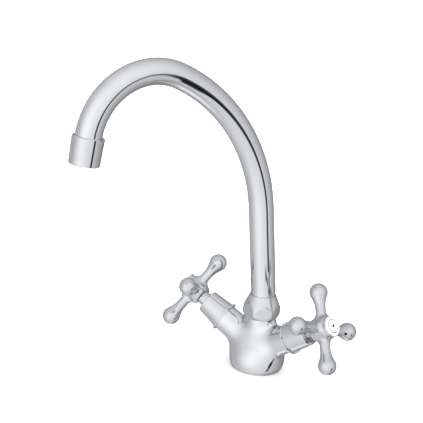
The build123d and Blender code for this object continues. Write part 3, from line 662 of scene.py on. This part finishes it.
plainLooks = {  # grain and depth in mm; those without an ior are metals
    # warm yellow with the fine broken shine of a fresh lathe cut
    "machined brass": {"colour": "#C9A45C", "second": "#B88F48", "grain": 0.8,
                       "rough": (0.22, 0.34), "depth": 0.01},
    # near black and dull, so that the seal under the foot reads as a soft thin shadow line
    "moulded EPDM rubber": {"colour": "#1B1B1D", "second": "#242426", "ior": 1.52, "grain": 0.25,
                            "rough": (0.55, 0.75), "depth": 0.01},
    # creamy white, with the close even gleam of a face lapped flat
    "lapped alumina ceramic": {"colour": "#EDEAE2", "second": "#E2DED4", "ior": 1.76, "grain": 0.3,
                               "rough": (0.18, 0.3), "depth": 0.002},
    # darker and softer than the chrome, as bare wire and screw heads are
    "spring stainless steel": {"colour": "#B4B3B1", "second": "#A3A2A0", "grain": 0.4,
                               "rough": (0.25, 0.38), "depth": 0.005},
    # waxy off-white plastic with a broad weak shine
    "moulded acetal": {"colour": "#E9E8E2", "second": "#DEDDD6", "ior": 1.48, "grain": 0.5,
                       "rough": (0.35, 0.5), "depth": 0.006},
    # plain light grey plastic, which makes the outlet's honeycomb stand out inside its bright rim
    "moulded grey ABS": {"colour": "#B9BBBD", "second": "#ADB0B2", "ior": 1.53, "grain": 0.4,
                         "rough": (0.3, 0.45), "depth": 0.006},
}
plain = {name: plainMaterial(name, look) for name, look in plainLooks.items()}

# Aerator outlet: Geometry Nodes lay hexagonal cells, open each one, and give the honeycomb its depth

outlet = {
    "place": (-77.47, -166.14, 199.34),  # mm, the middle of the housing's mouth
    "axis": (-0.0508, -0.1089, -0.9928),
    "recess": 3.5,  # from the mouth to the screen's face
    "rim": (7.4, 9.5),  # radii of the solid ring round the honeycomb
    "rimThickness": 0.6,
    "rimOverlap": 0.6,  # the ring's reach into the honeycomb
    "cell": 1.5,
    "web": 0.34,
    "depth": 1.6,
    "rows": 15,
    "cellMerge": 0.05,
    "wallMerge": 0.001,
}
screenSizes = {"Cell": outlet["cell"] * mm, "Web": outlet["web"] * mm, "Depth": outlet["depth"] * mm,
               "Radius": outlet["rim"][0] * mm, "Rows": outlet["rows"]}
tree, size = newGroup("honeycombScreen", screenSizes)
span = addNode(tree, "ShaderNodeMath", {"operation": "SUBTRACT"}, {0: size["Rows"], 1: 1.0}).outputs[0]
rowStep = addNode(tree, "ShaderNodeMath", {"operation": "MULTIPLY"},
                  {0: size["Cell"], 1: sqrt(0.75)}).outputs[0]
width = addNode(tree, "ShaderNodeMath", {"operation": "MULTIPLY"}, {0: span, 1: size["Cell"]}).outputs[0]
height = addNode(tree, "ShaderNodeMath", {"operation": "MULTIPLY"}, {0: span, 1: rowStep}).outputs[0]
grid = addNode(tree, "GeometryNodeMeshGrid", inputs={
    "Size X": width, "Size Y": height, "Vertices X": size["Rows"], "Vertices Y": size["Rows"]}).outputs[0]
spot = addNode(tree, "GeometryNodeInputPosition").outputs[0]
spotY = addNode(tree, "ShaderNodeSeparateXYZ", inputs={0: spot}).outputs["Y"]
row = addNode(tree, "ShaderNodeMath", {"operation": "DIVIDE"}, {0: spotY, 1: rowStep}).outputs[0]
row = addNode(tree, "ShaderNodeMath", {"operation": "ROUND"}, {0: row}).outputs[0]
odd = addNode(tree, "ShaderNodeMath", {"operation": "FLOORED_MODULO"}, {0: row, 1: 2.0}).outputs[0]
halfCell = addNode(tree, "ShaderNodeMath", {"operation": "MULTIPLY"}, {0: size["Cell"], 1: 0.5}).outputs[0]
sideways = addNode(tree, "ShaderNodeMath", {"operation": "MULTIPLY"}, {0: odd, 1: halfCell}).outputs[0]
shift = addNode(tree, "ShaderNodeCombineXYZ", inputs={"X": sideways}).outputs[0]
lattice = addNode(tree, "GeometryNodeSetPosition", inputs={"Geometry": grid, "Offset": shift}).outputs[0]
corner = addNode(tree, "ShaderNodeMath", {"operation": "DIVIDE"}, {0: size["Cell"], 1: sqrt(3)}).outputs[0]
hexagon = addNode(tree, "GeometryNodeMeshCircle", {"fill_type": "NGON"}, {
    "Vertices": 6, "Radius": corner}).outputs[0]
cells = addNode(tree, "GeometryNodeInstanceOnPoints", inputs={
    "Points": lattice, "Instance": hexagon, "Rotation": (0, 0, radians(30))}).outputs[0]
sheet = addNode(tree, "GeometryNodeRealizeInstances", inputs={"Geometry": cells}).outputs[0]
sheet = addNode(tree, "GeometryNodeMergeByDistance", inputs={
    "Geometry": sheet, "Distance": outlet["cellMerge"] * mm}).outputs[0]
spot = addNode(tree, "GeometryNodeInputPosition").outputs[0]
away = addNode(tree, "ShaderNodeVectorMath", {"operation": "LENGTH"}, {0: spot}).outputs["Value"]
outside = addNode(tree, "FunctionNodeCompare", {"operation": "GREATER_THAN"}, {
    0: away, 1: size["Radius"]}).outputs[0]
sheet = addNode(tree, "GeometryNodeDeleteGeometry", {"domain": "FACE"}, {
    "Geometry": sheet, "Selection": outside}).outputs[0]
opened = addNode(tree, "GeometryNodeExtrudeMesh", inputs={"Mesh": sheet, "Offset Scale": 0.0}).outputs
web = addNode(tree, "ShaderNodeMath", {"operation": "DIVIDE"}, {0: size["Web"], 1: size["Cell"]}).outputs[0]
inner = addNode(tree, "ShaderNodeMath", {"operation": "SUBTRACT"}, {0: 1.0, 1: web}).outputs[0]
shrunk = addNode(tree, "GeometryNodeScaleElements", inputs={
    "Geometry": opened["Mesh"], "Selection": opened["Top"], "Scale": inner}).outputs[0]
webs = addNode(tree, "GeometryNodeDeleteGeometry", {"domain": "FACE"}, {
    "Geometry": shrunk, "Selection": opened["Top"]}).outputs[0]
raised = addNode(tree, "GeometryNodeExtrudeMesh", inputs={
    "Mesh": webs, "Offset Scale": size["Depth"], "Individual": False}).outputs["Mesh"]
under = addNode(tree, "GeometryNodeFlipFaces", inputs={"Mesh": webs}).outputs[0]
comb = addNode(tree, "GeometryNodeJoinGeometry", inputs={"Geometry": [raised, under]}).outputs[0]
comb = addNode(tree, "GeometryNodeMergeByDistance", inputs={
    "Geometry": comb, "Distance": outlet["wallMerge"] * mm}).outputs[0]
closeGroup(tree, comb, plain["moulded grey ABS"])

mouth = aimed(outlet["place"], outlet["axis"])
face = -outlet["recess"]
bm = bmesh.new()
bm.from_mesh(grow("screenCells", tree, screenSizes))
bm.transform(Matrix.Scale(1 / mm, 4))
bm.transform(mouth @ Matrix.Translation((0, 0, face - outlet["depth"])))
back = face - outlet["rimThickness"]
innerRim = outlet["rim"][0] - outlet["rimOverlap"]
outerRim = outlet["rim"][1]
corners = [(innerRim, face), (outerRim, face), (outerRim, back), (innerRim, back)]
rimLoops = [circleLoop(bm, mouth, radius, height, roundSides)[0] for radius, height in corners]
for index in range(4):
    wall(bm, rimLoops[index - 1], rimLoops[index])
bmesh.ops.recalc_face_normals(bm, faces=bm.faces)
bm.transform(Matrix.Scale(mm, 4))
screen = meshPiece("outletHoneycomb", bm)
screen.data.materials.append(plain["moulded grey ABS"])
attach(screen, "spout")
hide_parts("aerator_screen")
print("outlet honeycomb:", len(screen.data.polygons), "faces")


# Index buttons: white enamel under a clear glaze, which gives each cross one bright spot with a small sharp
# highlight. The plain dark ring and dot are fired under the glaze

button = {
    "middle": 88.6,  # mm along the arm
    "ring": 5.9,  # radii
    "ringWidth": 0.75,
    "dot": 1.5,
    "edge": 0.12,  # the blur of the print
    "white": "#F1F1EE",
    "second": "#EAEAE6",
    "print": "#2B2C2F",
    "cloud": 2.5,
    "swell": 0.01,
    "rough": (0.06, 0.12),
    "ior": 1.52,
}


def enamelButton(name, side):
    material, tree = newMaterial(name)
    place = addNode(tree, "ShaderNodeTexCoord").outputs["Object"]
    seat = aimed(armPlace(side, button["middle"]) * mm, armAxis(side))
    local = addNode(tree, "ShaderNodeMapping", {"vector_type": "TEXTURE"}, {
        "Vector": place, "Location": seat.translation, "Rotation": seat.to_euler()}).outputs[0]
    flat = addNode(tree, "ShaderNodeVectorMath", {"operation": "MULTIPLY"},
                   {0: local, 1: (1, 1, 0)}).outputs[0]
    out = addNode(tree, "ShaderNodeVectorMath", {"operation": "LENGTH"}, {0: flat}).outputs["Value"]
    marks = []
    for middle, half in ((button["ring"], button["ringWidth"] / 2), (0.0, button["dot"])):
        off = addNode(tree, "ShaderNodeMath", {"operation": "SUBTRACT"},
                      {0: out, 1: middle * mm}).outputs[0]
        off = addNode(tree, "ShaderNodeMath", {"operation": "ABSOLUTE"}, {0: off}).outputs[0]
        marks.append(addNode(tree, "ShaderNodeMapRange", inputs={
            "Value": off, "From Min": (half - button["edge"]) * mm,
            "From Max": (half + button["edge"]) * mm, "To Min": 1.0, "To Max": 0.0}).outputs["Result"])
    mark = addNode(tree, "ShaderNodeMath", {"operation": "MAXIMUM"},
                   {0: marks[0], 1: marks[1]}).outputs[0]
    cloud = addNode(tree, "ShaderNodeTexNoise", inputs={
        "Vector": place, "Scale": 1 / (button["cloud"] * mm), "Detail": 2.0}).outputs["Fac"]
    white = addNode(tree, "ShaderNodeMix", {"data_type": "RGBA"}, {
        0: cloud, 6: linear(button["white"]), 7: linear(button["second"])}).outputs[2]
    tone = addNode(tree, "ShaderNodeMix", {"data_type": "RGBA"}, {
        0: mark, 6: white, 7: linear(button["print"])}).outputs[2]
    rough = addNode(tree, "ShaderNodeMapRange", inputs={
        "Value": cloud, "To Min": button["rough"][0], "To Max": button["rough"][1]}).outputs["Result"]
    press = addNode(tree, "ShaderNodeBump", inputs={"Height": cloud, "Distance": button["swell"] * mm})
    shader = addNode(tree, "ShaderNodeBsdfPrincipled", inputs={
        "Base Color": tone, "Roughness": rough, "IOR": button["ior"], "Normal": press.outputs["Normal"]})
    finishMaterial(tree, shader)
    return material


wears = {
    "mixer_body": plated["castBody"],
    "spout_nut": plated["turnedNut"],
    "spout_tube": plated["drawnTube"],
    "aerator_housing": plated["turnedSleeve"],
    "base_seal": plain["moulded EPDM rubber"],
    "lower_slide_washer": plain["moulded acetal"],
    "upper_slide_ring": plain["moulded acetal"],
    "spout_ferrule": plain["machined brass"],
    "spout_o_ring_lower": plain["moulded EPDM rubber"],
    "spout_o_ring_upper": plain["moulded EPDM rubber"],
    "aerator_washer": plain["moulded EPDM rubber"],
    "aerator_insert": plain["moulded acetal"],
    "aerator_screen": plain["moulded grey ABS"],
}
for side, sign in (("hot", -1), ("cold", 1)):
    wears.update({
        side + "_seat_seal": plain["moulded EPDM rubber"],
        side + "_fixed_disc": plain["lapped alumina ceramic"],
        side + "_moving_disc": plain["lapped alumina ceramic"],
        side + "_valve_body": plain["machined brass"],
        side + "_spindle": plain["machined brass"],
        side + "_spindle_o_ring": plain["moulded EPDM rubber"],
        side + "_spindle_clip": plain["spring stainless steel"],
        side + "_handle_screw": plain["spring stainless steel"],
        side + "_flange_ring": plated["beadTrim"],
        side + "_sleeve": plated["turnedSleeve"],
        side + "_cross_handle": plated["castCross"],
        side + "_index_bezel": plated["beadTrim"],
        side + "_index_button": enamelButton("glazed white enamel, " + side + " button", sign),
    })
for name, node in nodes.items():
    for materialSlot in node.material_slots:
        materialSlot.material = wears[name]
print("materials on", len(wears), "pieces")
